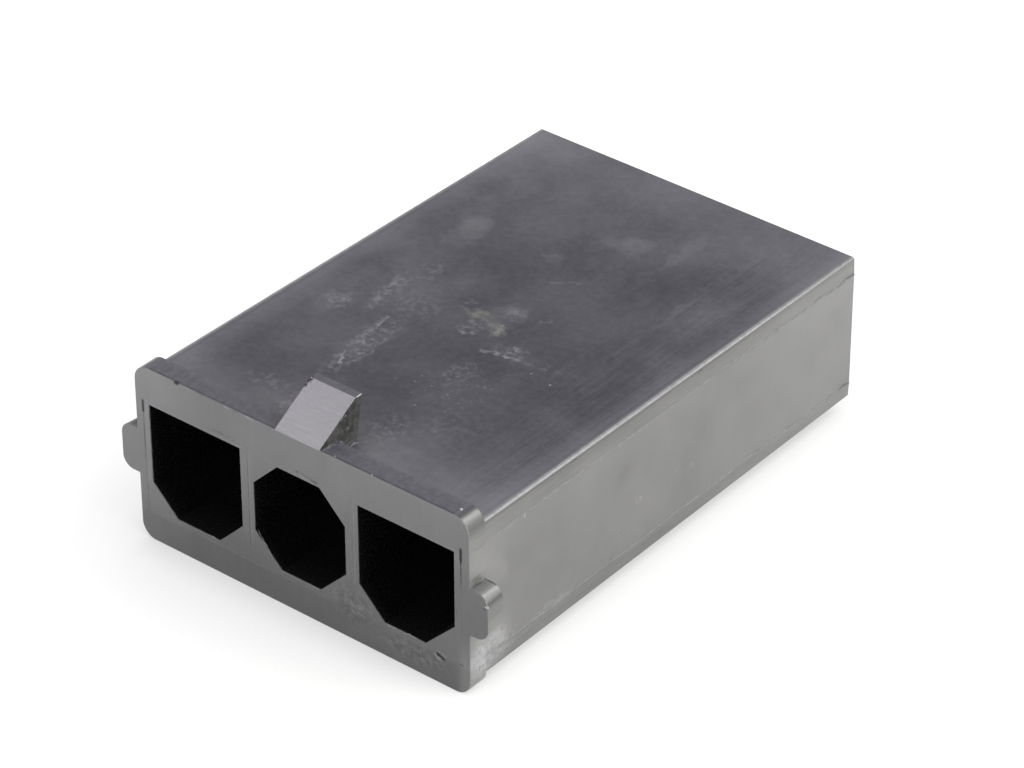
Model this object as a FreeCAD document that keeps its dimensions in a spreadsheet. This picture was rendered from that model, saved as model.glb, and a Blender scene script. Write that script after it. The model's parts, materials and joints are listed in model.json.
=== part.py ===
import FreeCAD, Part
import math
import os

import Sketcher

# A power connector housing for a row of crimp contacts, moulded in one piece. Lengths are in
# millimetres and angles in degrees. +X runs along the row of circuits, +Y from the mating face
# to the wire side and +Z up. The origin is under the middle of the housing, on the surface that
# it stands on.

NODE = "housing"
PARTS_FOLDER = "parts"

# Two places nearer than this are the same place
SAME_PLACE = 1e-4

# An edge counts as running along the depth when it is longer than this, and this much thinner
SHORTEST_RUN = 0.5
RUN_TO_DRIFT = 10

SIZES = {
    # The row of circuits
    "pitch": 10.0,
    "circuits": 3,
    # Walls between the mouths and the outside of the body, at the mating face
    "side_wall": 1.21,
    "floor_wall": 2.07,
    "roof_wall": 2.05,
    # The long body, which draws in towards the wire side. Its sides are widest between their two
    # parting lines, and lean in from there to the floor and to the roof.
    "total_length": 46.4,
    "body_draft": 0.4,
    "body_edge_radius": 0.2,
    "parting_rise": 1.65,
    "parting_drop": 1.75,
    "parting_lean": 0.07,
    # The collar round the mating face, and how far it stands proud of the body
    "collar_depth": 1.8,
    "collar_lip_side": 0.14,
    "collar_lip_floor": 0.88,
    "collar_lip_roof": 1.07,
    "collar_corner_radius": 1.3,
    "collar_front_radius": 0.06,
    # One ear on each side of the collar, narrowing from the mating face to the collar's back
    "ear_reach": 1.64,
    "ear_height": 4.0,
    "ear_draft": 3.0,
    "ear_corner_radius": 1.0,
    # The latch ramp on the collar's roof, with a hook that leans over the body behind it
    "ramp_width": 4.2,
    "ramp_run": 4.0,
    "ramp_rise": 2.43,
    "ramp_crest": 0.7,
    "ramp_undercut": 0.65,
    # The keyed mouths: end ones are cut at their lower corners, middle ones at all four
    "mouth_web": 1.14,
    "mouth_height": 9.2,
    "middle_mouth_inset": 0.08,
    "key_cut": 2.35,
    "middle_key_cut": 2.5,
    "far_key_cut": 2.7,
    "mouth_depth": 21.0,
    "core_draft": 0.25,
    # The throats that carry the contacts through the bulkhead
    "bulkhead": 4.0,
    "throat_width": 5.8,
    "throat_height": 6.0,
    "throat_lead_in": 0.5,
    # The wire chambers behind the bulkhead
    "chamber_web": 1.8,
    "chamber_height": 8.6,
    "chamber_corner_radius": 1.0,
    "entry_lead_in": 0.4,
}

# Places that follow from the sizes, as formulas for the sheet
MATING_FACE = "(-sheet.total_length / 2)"
WIRE_FACE = "(sheet.total_length / 2)"
BULKHEAD_REAR = "(-sheet.total_length / 2 + sheet.mouth_depth + sheet.bulkhead)"
END_MOUTH_WIDTH = "(sheet.pitch - sheet.mouth_web)"
ROW_HALF_SPAN = "((sheet.circuits - 1) * sheet.pitch / 2)"
BODY_FLOOR = "sheet.collar_lip_floor"
ROW_HEIGHT = f"({BODY_FLOOR} + sheet.floor_wall + sheet.mouth_height / 2)"
BODY_ROOF = f"({ROW_HEIGHT} + sheet.mouth_height / 2 + sheet.roof_wall)"
BODY_HALF_WIDTH = f"({ROW_HALF_SPAN} + {END_MOUTH_WIDTH} / 2 + sheet.side_wall)"
LOWER_PARTING = f"({BODY_FLOOR} + sheet.parting_rise)"
UPPER_PARTING = f"({BODY_ROOF} - sheet.parting_drop)"
COLLAR_HALF_WIDTH = f"({BODY_HALF_WIDTH} + sheet.collar_lip_side)"
COLLAR_ROOF = f"({BODY_ROOF} + sheet.collar_lip_roof)"
CREST_HEIGHT = f"({COLLAR_ROOF} + sheet.ramp_rise)"


def make_sheet(doc):
    """The spreadsheet that holds every driving dimension under its own name."""
    sheet = doc.addObject("Spreadsheet::Sheet", "sheet")
    for row, (alias, value) in enumerate(SIZES.items(), start=1):
        sheet.set(f"A{row}", alias)
        sheet.set(f"B{row}", str(value))
        sheet.setAlias(f"B{row}", alias)
    doc.recompute()
    return sheet


def origin_feature(body, role):
    """One of the body's own origin planes or axes, found by its role."""
    for feature in body.Origin.OriginFeatures:
        if feature.Role == role:
            return feature
    raise RuntimeError(f"the body has no {role}")


def sketch_outline(body, name, role, corners, offset=None):
    """A closed outline of straight lines on an origin plane, or moved along the plane's normal.

    Each corner is a pair of formulas, its distance across and up from the sketch's origin.
    The lines start on a small circle, and the constraints carry them to their places.
    """
    sketch = body.newObject("Sketcher::SketchObject", name)
    sketch.AttachmentSupport = [(origin_feature(body, role), "")]
    sketch.MapMode = "FlatFace"
    if offset:
        sketch.setExpression("AttachmentOffset.Base.z", offset)
    count = len(corners)
    start = [
        FreeCAD.Vector(math.cos(math.tau * index / count), math.sin(math.tau * index / count), 0)
        for index in range(count)
    ]
    for index in range(count):
        sketch.addGeometry(Part.LineSegment(start[index], start[(index + 1) % count]), False)
    for index in range(count):
        sketch.addConstraint(Sketcher.Constraint("Coincident", index, 2, (index + 1) % count, 1))
    for index, (across, up) in enumerate(corners):
        hold_corner(sketch, "DistanceX", f"across_{index}", index, start[index].x, across)
        hold_corner(sketch, "DistanceY", f"up_{index}", index, start[index].y, up)
    return sketch


def hold_corner(sketch, kind, label, line, value, formula):
    """Ties the first end of a line to the sketch's origin by a named distance and its formula."""
    number = sketch.addConstraint(Sketcher.Constraint(kind, -1, 1, line, 1, value))
    sketch.renameConstraint(number, label)
    sketch.setExpression(f"Constraints.{label}", formula)


def box_corners(centre, middle, half_width, half_height):
    """The four corners of a rectangle about a centre, as formulas."""
    return [
        (f"{centre} - {half_width}", f"{middle} - {half_height}"),
        (f"{centre} + {half_width}", f"{middle} - {half_height}"),
        (f"{centre} + {half_width}", f"{middle} + {half_height}"),
        (f"{centre} - {half_width}", f"{middle} + {half_height}"),
    ]


def add_feature(body, kind, name, **values):
    """A feature at the end of the body; texts that name the sheet are bound as formulas."""
    feature = body.newObject(f"PartDesign::{kind}", name)
    for key, value in values.items():
        if isinstance(value, str) and "sheet." in value:
            feature.setExpression(key, value)
        else:
            setattr(feature, key, value)
    return feature


def settle(body, feature, grows):
    """Makes a feature the body's last and checks that it added or took away material as it should."""
    before = 0.0 if body.Shape.isNull() else body.Shape.Volume
    body.Tip = feature
    body.Document.recompute()
    after = body.Shape.Volume
    if "Invalid" in feature.State or "Error" in feature.State:
        raise RuntimeError(f"{feature.Name} failed")
    if (after > before) != grows or after == before:
        raise RuntimeError(f"{feature.Name} went the wrong way: {before} to {after}")
    return feature


def edges_where(feature, test):
    """The names of a feature's edges that pass a test of the edge's own bounds."""
    return [f"Edge{number}" for number, edge in enumerate(feature.Shape.Edges, start=1) if test(edge)]


def runs_along_depth(edge):
    """Whether an edge runs from the mating side to the wire side."""
    box = edge.BoundBox
    return box.YLength > SHORTEST_RUN and box.YLength > RUN_TO_DRIFT * max(box.XLength, box.ZLength)


def build_body_block(body):
    """The long block, widest between its parting lines, drawn in on all sides to the wire side."""
    widest = BODY_HALF_WIDTH
    leaned = f"({BODY_HALF_WIDTH} - sheet.parting_lean)"
    section = sketch_outline(
        body, "body_section", "XZ_Plane",
        [
            (f"-{leaned}", BODY_FLOOR),
            (leaned, BODY_FLOOR),
            (widest, LOWER_PARTING),
            (widest, UPPER_PARTING),
            (leaned, BODY_ROOF),
            (f"-{leaned}", BODY_ROOF),
            (f"-{widest}", UPPER_PARTING),
            (f"-{widest}", LOWER_PARTING),
        ],
        f"-{MATING_FACE}",
    )
    block = add_feature(
        body, "Pad", "body_block",
        Profile=section, Length="sheet.total_length", Reversed=True,
        TaperAngle="sheet.body_draft * -1",
    )
    settle(body, block, grows=True)
    whole = block.Shape.BoundBox

    def is_corner(edge):
        box = edge.BoundBox
        at_floor = box.ZMin < whole.ZMin + SAME_PLACE
        at_roof = box.ZMax > whole.ZMax - SAME_PLACE
        return runs_along_depth(edge) and (at_floor or at_roof)

    rounded = add_feature(
        body, "Fillet", "body_edges",
        Base=(block, edges_where(block, is_corner)), Radius="sheet.body_edge_radius",
    )
    return settle(body, rounded, grows=False)


def build_collar(body):
    """The collar round the mating face, a plate with rounded corners."""
    outline = sketch_outline(
        body, "collar_outline", "XZ_Plane",
        [
            (f"-{COLLAR_HALF_WIDTH}", "0"),
            (COLLAR_HALF_WIDTH, "0"),
            (COLLAR_HALF_WIDTH, COLLAR_ROOF),
            (f"-{COLLAR_HALF_WIDTH}", COLLAR_ROOF),
        ],
        f"-{MATING_FACE}",
    )
    plate = add_feature(
        body, "Pad", "collar", Profile=outline, Length="sheet.collar_depth", Reversed=True,
    )
    settle(body, plate, grows=True)
    rounded = add_feature(
        body, "Fillet", "collar_corners",
        Base=(plate, side_edges(plate)), Radius="sheet.collar_corner_radius",
    )
    return settle(body, rounded, grows=False)


def side_edges(feature):
    """The edges along the depth that reach furthest out on either side."""
    reach = feature.Shape.BoundBox.XMax

    def on_side(edge):
        box = edge.BoundBox
        return runs_along_depth(edge) and max(box.XMax, -box.XMin) > reach - SAME_PLACE

    return edges_where(feature, on_side)


def build_ears(body):
    """The two ears, each flush with the mating face and rounded at its outer corners."""
    ear_floor = f"{ROW_HEIGHT} - sheet.ear_height / 2"
    ear_roof = f"{ROW_HEIGHT} + sheet.ear_height / 2"
    root = f"{COLLAR_HALF_WIDTH} - sheet.side_wall / 2"
    tip = f"{COLLAR_HALF_WIDTH} + sheet.ear_reach"
    outline = sketch_outline(
        body, "ear_outline", "XZ_Plane",
        [(root, ear_floor), (tip, ear_floor), (tip, ear_roof), (root, ear_roof)],
        f"-{MATING_FACE}",
    )
    ear = add_feature(
        body, "Pad", "right_ear",
        Profile=outline, Length="sheet.collar_depth", Reversed=True,
        TaperAngle="sheet.ear_draft * -1",
    )
    settle(body, ear, grows=True)
    pair = add_feature(
        body, "Mirrored", "both_ears",
        Originals=[ear], MirrorPlane=(origin_feature(body, "YZ_Plane"), [""]),
    )
    settle(body, pair, grows=True)
    rounded = add_feature(
        body, "Fillet", "ear_corners",
        Base=(pair, side_edges(pair)), Radius="sheet.ear_corner_radius",
    )
    return settle(body, rounded, grows=False)


def soften_mating_face(body, carrier):
    """A small radius all round the outside of the mating face."""
    front = -body.Document.sheet.total_length / 2

    def on_front(edge):
        return edge.BoundBox.YMax < front + SAME_PLACE

    softened = add_feature(
        body, "Fillet", "mating_face_edge",
        Base=(carrier, edges_where(carrier, on_front)), Radius="sheet.collar_front_radius",
    )
    return settle(body, softened, grows=False)


def build_latch_ramp(body):
    """The ramp that the mating latch rides up, with a hook behind its crest."""
    crest_front = f"{MATING_FACE} + sheet.ramp_run"
    crest_rear = f"{crest_front} + sheet.ramp_crest"
    foot = f"{crest_rear} - sheet.ramp_undercut"
    rooted = f"{BODY_ROOF} - sheet.roof_wall / 2"
    profile = sketch_outline(
        body, "ramp_profile", "YZ_Plane",
        [
            (MATING_FACE, rooted),
            (foot, rooted),
            (foot, BODY_ROOF),
            (crest_rear, CREST_HEIGHT),
            (crest_front, CREST_HEIGHT),
            (MATING_FACE, COLLAR_ROOF),
        ],
    )
    ramp = add_feature(
        body, "Pad", "latch_ramp",
        Profile=profile, Length="sheet.ramp_width", SideType="Symmetric",
    )
    return settle(body, ramp, grows=True)


def mouth_outline(index, count):
    """One mouth's corners: an end mouth is cut at its lower corners, a middle one at all four."""
    centre = f"({index} * sheet.pitch - {ROW_HALF_SPAN})"
    is_end = index in (0, count - 1)
    inset = "0" if is_end else "sheet.middle_mouth_inset"
    left = f"{centre} - {END_MOUTH_WIDTH} / 2 + {inset}"
    right = f"{centre} + {END_MOUTH_WIDTH} / 2 - {inset}"
    floor = f"{ROW_HEIGHT} - sheet.mouth_height / 2 + {inset}"
    roof = f"{ROW_HEIGHT} + sheet.mouth_height / 2 - {inset}"
    if not is_end:
        low = "sheet.middle_key_cut"
        high = "sheet.key_cut"
        return [
            (f"{left} + {low}", floor),
            (f"{right} - {low}", floor),
            (right, f"{floor} + {low}"),
            (right, f"{roof} - {high}"),
            (f"{right} - {high}", roof),
            (f"{left} + {high}", roof),
            (left, f"{roof} - {high}"),
            (left, f"{floor} + {low}"),
        ]
    near = "sheet.key_cut"
    far = "sheet.far_key_cut" if index else near
    return [
        (f"{left} + {near}", floor),
        (f"{right} - {far}", floor),
        (right, f"{floor} + {far}"),
        (right, roof),
        (left, roof),
        (left, f"{floor} + {near}"),
    ]


def cut_mouths(body):
    """The keyed mouths, each drawn in by the core's draft towards its floor."""
    count = body.Document.sheet.circuits
    for index in range(count):
        name = f"mouth_{index + 1}"
        outline = sketch_outline(
            body, f"{name}_outline", "XZ_Plane", mouth_outline(index, count), f"-{MATING_FACE}",
        )
        mouth = add_feature(
            body, "Pocket", name,
            Profile=outline, Length="sheet.mouth_depth", TaperAngle="sheet.core_draft * -1",
        )
        settle(body, mouth, grows=False)


def cut_row(body, name, face, half_width, half_height, depth):
    """A rectangular pocket cut forwards from a plane at the first circuit, repeated along the row."""
    corners = box_corners(f"-{ROW_HALF_SPAN}", ROW_HEIGHT, half_width, half_height)
    outline = sketch_outline(body, f"{name}_outline", "XZ_Plane", corners, f"-{face}")
    pocket = add_feature(
        body, "Pocket", f"first_{name}", Profile=outline, Length=depth, Reversed=True,
    )
    settle(body, pocket, grows=False)
    row = add_feature(
        body, "LinearPattern", f"{name}_row",
        Originals=[pocket], Direction=(outline, ["H_Axis"]),
        Length=f"2 * {ROW_HALF_SPAN}", Occurrences="sheet.circuits",
    )
    return settle(body, row, grows=False)


def cut_wire_chambers(body):
    """The wire chambers, with rounded corners and a lead-in at the wire side."""
    row = cut_row(
        body, "chamber", WIRE_FACE,
        "(sheet.pitch - sheet.chamber_web) / 2", "sheet.chamber_height / 2",
        "sheet.total_length - sheet.mouth_depth - sheet.bulkhead",
    )
    sheet = body.Document.sheet
    rear = sheet.total_length / 2

    def is_in_chamber(edge):
        return in_circuit(edge, sheet, sheet.pitch - sheet.chamber_web, sheet.chamber_height)

    def is_chamber_corner(edge):
        reaches_rear = edge.BoundBox.YMax > rear - SAME_PLACE
        return reaches_rear and runs_along_depth(edge) and is_in_chamber(edge)

    def is_chamber_rim(edge):
        return edge.BoundBox.YMin > rear - SAME_PLACE and is_in_chamber(edge)

    rounded = add_feature(
        body, "Fillet", "chamber_corners",
        Base=(row, edges_where(row, is_chamber_corner)), Radius="sheet.chamber_corner_radius",
    )
    settle(body, rounded, grows=True)
    lead_in = add_feature(
        body, "Chamfer", "entry_lead_in",
        Base=(rounded, edges_where(rounded, is_chamber_rim)), Size="sheet.entry_lead_in",
    )
    return settle(body, lead_in, grows=False)


def cut_throats(body):
    """The throats that join each mouth to its wire chamber, with a lead-in for the contact's nose."""
    row = cut_row(
        body, "throat", BULKHEAD_REAR,
        "sheet.throat_width / 2", "sheet.throat_height / 2", "sheet.bulkhead",
    )
    sheet = body.Document.sheet
    plane = sheet.mouth_depth + sheet.bulkhead - sheet.total_length / 2

    def is_throat_rim(edge):
        box = edge.BoundBox
        on_plane = abs(box.YMin - plane) < SAME_PLACE and box.YLength < SAME_PLACE
        return on_plane and in_circuit(edge, sheet, sheet.throat_width, sheet.throat_height)

    lead_in = add_feature(
        body, "Chamfer", "throat_lead_in",
        Base=(row, edges_where(row, is_throat_rim)), Size="sheet.throat_lead_in",
    )
    return settle(body, lead_in, grows=False)


def in_circuit(edge, sheet, width, height):
    """Whether an edge's middle lies within a rectangle about the axis of the nearest circuit."""
    centre = edge.CenterOfMass
    first = -sheet.pitch * (sheet.circuits - 1) / 2
    nearest = min(sheet.circuits - 1, max(0, round((centre.x - first) / sheet.pitch)))
    across = abs(centre.x - first - nearest * sheet.pitch)
    up = abs(centre.z - sheet.collar_lip_floor - sheet.floor_wall - sheet.mouth_height / 2)
    return across < width / 2 + SAME_PLACE and up < height / 2 + SAME_PLACE


def build_housing(doc):
    """The whole moulding: the outside first, then the hollows that the cores leave."""
    body = doc.addObject("PartDesign::Body", NODE)
    body.Label = NODE
    build_body_block(body)
    build_collar(body)
    ears = build_ears(body)
    soften_mating_face(body, ears)
    build_latch_ramp(body)
    cut_mouths(body)
    cut_wire_chambers(body)
    cut_throats(body)
    return body


def check(doc):
    """Stops if any object of the document is broken."""
    for thing in doc.Objects:
        if "Invalid" in thing.State or "Error" in thing.State:
            raise RuntimeError(f"{thing.Name} is {thing.State}")
        if thing.TypeId == "Sketcher::SketchObject" and not thing.FullyConstrained:
            raise RuntimeError(f"{thing.Name} isn't fully held")


def main():
    doc = FreeCAD.newDocument("connector_housing")
    make_sheet(doc)
    housing = build_housing(doc)
    housing.Placement = FreeCAD.Placement()
    doc.recompute()
    check(doc)
    shape = housing.Shape
    if shape.isNull() or not shape.isValid() or len(shape.Solids) != 1:
        raise RuntimeError("the housing isn't one valid solid")
    os.makedirs(PARTS_FOLDER, exist_ok=True)
    shape.exportStep(os.path.join(PARTS_FOLDER, f"{NODE}.step"))
    box = shape.optimalBoundingBox(False, False)
    print(f"{NODE}: {shape.Volume:.1f} mm3, {box.XLength:.2f} x {box.YLength:.2f} x {box.ZLength:.2f} mm")


main()
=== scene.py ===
import json
import math

import bmesh
import bpy
import numpy as np
from bpy.props import FloatProperty, FloatVectorProperty, IntProperty, PointerProperty
from bpy.types import Operator, Panel, PropertyGroup
from mathutils import Matrix, Vector


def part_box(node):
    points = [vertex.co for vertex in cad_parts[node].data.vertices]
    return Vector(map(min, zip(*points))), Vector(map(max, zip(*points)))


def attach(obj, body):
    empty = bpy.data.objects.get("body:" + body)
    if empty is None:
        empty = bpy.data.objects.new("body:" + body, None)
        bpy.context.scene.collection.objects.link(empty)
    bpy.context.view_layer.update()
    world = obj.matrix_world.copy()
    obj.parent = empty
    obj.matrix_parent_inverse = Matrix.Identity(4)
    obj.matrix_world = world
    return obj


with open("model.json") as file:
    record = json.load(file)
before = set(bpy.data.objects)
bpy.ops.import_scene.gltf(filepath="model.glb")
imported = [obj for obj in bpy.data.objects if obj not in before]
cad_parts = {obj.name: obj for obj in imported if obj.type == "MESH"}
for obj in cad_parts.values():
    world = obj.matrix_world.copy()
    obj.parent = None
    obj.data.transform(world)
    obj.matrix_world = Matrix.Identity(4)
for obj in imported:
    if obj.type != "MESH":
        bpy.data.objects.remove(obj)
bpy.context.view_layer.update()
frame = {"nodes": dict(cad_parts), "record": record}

bl_info = {
    "name": "Moulded Connector Housing",
    "version": (1, 0, 0),
    "blender": (4, 5, 0),
    "location": "View3D > Sidebar > Housing",
    "description": "Finishes a moulded connector housing: its plastic, flash, witness marks and studio",
    "category": "Object",
}

# Lengths in this file are in millimetres unless a name says otherwise. Blender works in metres.
MM = 0.001

# The housing's own places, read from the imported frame. Depth is counted from the mating face.
NODE = "housing"
ROOT = "root"
LOW, HIGH = (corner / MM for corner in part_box(NODE))
MATING_FACE = LOW.y
TOTAL_LENGTH = HIGH.y - LOW.y
MOUNT_PLACES = {mount["name"]: Vector(mount["pos_m"]) / MM for mount in frame["record"]["mounts"]}
COLLAR_DEPTH = MOUNT_PLACES["panel_stop"].y - MATING_FACE
ROW_HEIGHT = MOUNT_PLACES["middle_mouth"].z
PITCH = MOUNT_PLACES["right_mouth"].x - MOUNT_PLACES["middle_mouth"].x

# Sizes of the moulding that the frame doesn't state
MOUTH_WIDTH = 8.86
MOUTH_HEIGHT = 9.2
BODY_ROOF = 14.2
BODY_HALF_WIDTH = 15.64
LOWER_PARTING = 2.53
UPPER_PARTING = 12.45
BODY_DRAFT = math.radians(0.4)
COLLAR_HALF_WIDTH = 15.78
COLLAR_ROOF = 15.27
RAMP_RUN = 4.0
RAMP_RISE = 2.43
COLLAR_CORNER = 1.3
EAR_HALF_HEIGHT = 2.0
EAR_CORNER = 1.0
RAMP_HALF_WIDTH = 2.1

# Rings of beads and of grains have this many points, and a grain this many rings
RING_POINTS = 10
GRAIN_RINGS = 7


def body_side(depth):
    """How far the body's side stands from the middle between its parting lines, at a depth."""
    return BODY_HALF_WIDTH - np.asarray(depth) * math.tan(BODY_DRAFT)


def in_frame(x, depth, height):
    """Points of the frame from their x, depth and height, which spread out against each other."""
    x, depth, height = np.broadcast_arrays(x, depth, height)
    return np.stack([x, MATING_FACE + depth, height], axis=-1)


def wander(places, seed, lengths, amounts):
    """A smooth random line.

    At place s it is the sum, over the lengths, of amount times the sine of a full turn for each
    length travelled, from a random start.
    """
    dice = np.random.default_rng(seed)
    lengths = np.array(lengths) * dice.uniform(0.85, 1.15, len(lengths))
    turns = np.asarray(places)[:, None] / lengths + dice.random(len(lengths))
    return np.sin(math.tau * turns) @ np.array(amounts)


def tapered(places, run):
    """One along the places, easing to nothing over a run at each end."""
    from_end = np.minimum(places - places[0], places[-1] - places)
    share = np.clip(from_end / run, 0.0, 1.0)
    return share * share * (3 - 2 * share)


def bead(path, outward, across, height, half_width, sunk):
    """The rings of a bead that lies on a surface along a path.

    The ring's point at angle a stands beside the path by half_width times cos a, and out of the
    surface by height times sin a, or by sunk times sin a where that goes into the surface.
    """
    angle = np.arange(RING_POINTS) * math.tau / RING_POINTS
    rise = np.where(np.sin(angle) > 0, np.sin(angle) * height[:, None], np.sin(angle) * sunk)
    aside = np.cos(angle) * half_width[:, None]
    return path[:, None] + aside[..., None] * across + rise[..., None] * outward


def lump(centre, radii, seed):
    """The rings of an uneven grain, from pole to pole.

    The point at turn u and tilt v is the centre plus the radii times (cos u sin v, sin u sin v,
    cos v), made larger or smaller by up to a quarter by waves in u and v.
    """
    dice = np.random.default_rng(seed)
    turn = (np.arange(RING_POINTS) * math.tau / RING_POINTS)[None, :]
    tilt = np.linspace(0.2, math.pi - 0.2, GRAIN_RINGS)[:, None]
    starts = dice.uniform(0, math.tau, 3)
    girth = np.sin(tilt)
    swell = 1 + 0.15 * np.sin(2 * turn + starts[0]) * girth
    swell = swell + 0.1 * np.sin(3 * turn + 2 * tilt + starts[1])
    ball = np.stack([np.cos(turn) * girth, np.sin(turn) * girth, np.cos(tilt) + 0 * turn], axis=-1)
    return np.asarray(centre) + ball * swell[..., None] * np.asarray(radii)


def ring_faces(rings, points, start):
    """Four-sided faces between neighbouring rings and one flat face on each end."""
    ring, point = np.meshgrid(np.arange(rings - 1), np.arange(points), indexing="ij")
    after = (point + 1) % points
    near, far = ring * points, (ring + 1) * points
    corners = [near + point, near + after, far + after, far + point]
    quads = start + np.stack(corners, axis=-1).reshape(-1, 4)
    first = start + np.arange(points)
    last = first + (rings - 1) * points
    return quads.tolist() + [first.tolist(), last.tolist()]


def add_piece(name, shells, material):
    """One object of closed shells, each given as an array of rings, with its faces turned outwards."""
    points, faces = [], []
    for rings in shells:
        faces += ring_faces(rings.shape[0], rings.shape[1], sum(len(p) for p in points))
        points.append(rings.reshape(-1, 3))
    mesh = bpy.data.meshes.new(name)
    mesh.from_pydata((np.concatenate(points) * MM).tolist(), [], faces)
    shaping = bmesh.new()
    shaping.from_mesh(mesh)
    bmesh.ops.recalc_face_normals(shaping, faces=shaping.faces)
    shaping.to_mesh(mesh)
    shaping.free()
    mesh.shade_smooth()
    mesh.materials.append(material)
    piece = bpy.data.objects.new(name, mesh)
    bpy.context.scene.collection.objects.link(piece)
    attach(piece, ROOT)
    return piece


class Recipe:
    """The node tree of a material or world, with short calls that add nodes and return an output."""

    def __init__(self, owner):
        self.owner = owner
        owner.use_nodes = True
        self.tree = owner.node_tree
        self.tree.nodes.clear()

    def feed(self, socket, value):
        if isinstance(value, bpy.types.NodeSocket):
            self.tree.links.new(value, socket)
        else:
            socket.default_value = value

    def add(self, kind, inputs, output=0, **settings):
        node = self.tree.nodes.new(kind)
        for key, value in settings.items():
            setattr(node, key, value)
        for key, value in inputs.items():
            self.feed(node.inputs[key], value)
        return node.outputs[output]

    def math(self, operation, *values):
        return self.add("ShaderNodeMath", dict(enumerate(values)), operation=operation)

    def vector(self, operation, inputs, output=0):
        return self.add("ShaderNodeVectorMath", inputs, output, operation=operation)

    def times(self, first, *others):
        for other in others:
            first = self.math("MULTIPLY", first, other)
        return first

    def plus(self, first, *others):
        for other in others:
            first = self.math("ADD", first, other)
        return first

    def larger(self, first, *others):
        for other in others:
            first = self.math("MAXIMUM", first, other)
        return first

    def ramp(self, value, start, end, low=0.0, high=1.0, kind="LINEAR"):
        """Goes evenly from low to high while the value goes from start to end."""
        inputs = {"Value": value, "From Min": start, "From Max": end, "To Min": low, "To Max": high}
        return self.add("ShaderNodeMapRange", inputs, interpolation_type=kind)

    def ease(self, value, start, end, low=0.0, high=1.0):
        """Goes smoothly from low to high while the value goes from start to end."""
        return self.ramp(value, start, end, low, high, "SMOOTHSTEP")

    def curve(self, value, knots, top):
        """Reads a value off a smooth curve drawn by (value, result) knots, none over the top."""
        first, last = knots[0][0], knots[-1][0]
        node = self.add("ShaderNodeValToRGB", {"Fac": self.ramp(value, first, last)}).node
        stops = node.color_ramp.elements
        stops.remove(stops[1])
        node.color_ramp.interpolation = "B_SPLINE"
        for number, (place, result) in enumerate(knots):
            share = (place - first) / (last - first)
            stop = stops[0] if number == 0 else stops.new(share)
            stop.position = share
            stop.color = (result / top, result / top, result / top, 1.0)
        return self.times(node.outputs["Color"], top)

    def within(self, value, start, end, feather):
        """One between start and end, falling smoothly to nothing a feather's width outside."""
        rise = self.ease(value, start - feather, start)
        fall = self.ease(value, end + feather, end)
        return self.times(rise, fall)

    def towards(self, amount, first, second):
        """The first value, going over to the second as the amount goes from nothing to one."""
        inputs = {0: amount, 2: first, 3: second}
        return self.add("ShaderNodeMix", inputs, data_type="FLOAT")

    def spot(self, centre, radii, strength=1.0):
        """A strength round a point, falling smoothly to nothing from a share of the radii to them."""
        scale = [1 / radius for radius in radii]
        shift = [-middle / radius for middle, radius in zip(centre, radii)]
        away = self.vector("MULTIPLY_ADD", {0: self.here, 1: scale, 2: shift})
        reach = self.vector("LENGTH", {0: away}, "Value")
        return self.ease(reach, 1.0, SPOT_CORE, 0.0, strength)

    def stroke(self, start, end, outward, width, strength=1.0):
        """A strength along a straight line on a face, longer than twice its width.

        It fades over a width at the line's ends and over less than that at its sides.
        """
        run = Vector(end) - Vector(start)
        middle = (Vector(end) + Vector(start)) / 2
        away = self.vector("SUBTRACT", {0: self.here, 1: tuple(middle)})
        off = []
        for way in (run, run.cross(Vector(outward))):
            part = self.vector("DOT_PRODUCT", {0: away, 1: tuple(way.normalized())}, "Value")
            off.append(self.math("ABSOLUTE", part))
        half = run.length / 2
        inside = self.ease(off[0], half, half - width)
        return self.times(inside, self.ease(off[1], width, width / 4, 0.0, strength))

    def stretched(self, place, x, y, z):
        """A place scaled by its own amount along each axis."""
        return self.vector("MULTIPLY", {0: place, 1: (x, y, z)})

    def noise(self, place, scale, detail=2.0, roughness=0.5, output="Fac"):
        inputs = {"Vector": place, "Scale": scale, "Detail": detail, "Roughness": roughness}
        return self.add("ShaderNodeTexNoise", inputs, output=output)

    def pushed(self, place, scale, reach):
        """A place pushed to and fro by a noise, by up to half the reach each way."""
        push = self.noise(place, scale, 3.0, 0.6, output="Color")
        push = self.vector("ADD", {0: push, 1: (-0.5, -0.5, -0.5)})
        push = self.vector("SCALE", {0: push, 3: reach})
        return self.vector("ADD", {0: place, 1: push})

    def seen(self):
        """One for rays that the camera sends, also by way of a mirror or glass, or else nothing."""
        path = self.add("ShaderNodeLightPath", {}).node.outputs
        return self.larger(path["Is Camera Ray"], path["Is Glossy Ray"], path["Is Transmission Ray"])

    def output(self, surface, kind="ShaderNodeOutputMaterial"):
        target = self.tree.nodes.new(kind)
        self.tree.links.new(surface, target.inputs["Surface"])

    def finish(self, colour, roughness, bump):
        """The material, as plastic of a colour and roughness with a bump."""
        inputs = {"Base Color": colour, "Roughness": roughness, "Normal": bump}
        self.output(self.add("ShaderNodeBsdfPrincipled", inputs))
        return self.owner

    def blend(self, amount, first, second):
        inputs = {"Factor": amount, 6: first, 7: second}
        return self.add("ShaderNodeMix", inputs, output=2, data_type="RGBA")

    def place(self):
        """The place on the housing in millimetres, whole and by its x, depth and height."""
        place = self.add("ShaderNodeTexCoord", {}, output="Object")
        place = self.vector("SCALE", {0: place, 3: 1 / MM})
        self.here = self.vector("ADD", {0: place, 1: (0, -MATING_FACE, 0)})
        split = self.add("ShaderNodeSeparateXYZ", {0: self.here}).node
        return self.here, *split.outputs


# What all properties that are lengths share, and all that are colours
LENGTH = {"subtype": "DISTANCE", "unit": "LENGTH", "precision": 6}
COLOUR = {"subtype": "COLOR", "size": 3, "min": 0.0, "max": 1.0}


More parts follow.
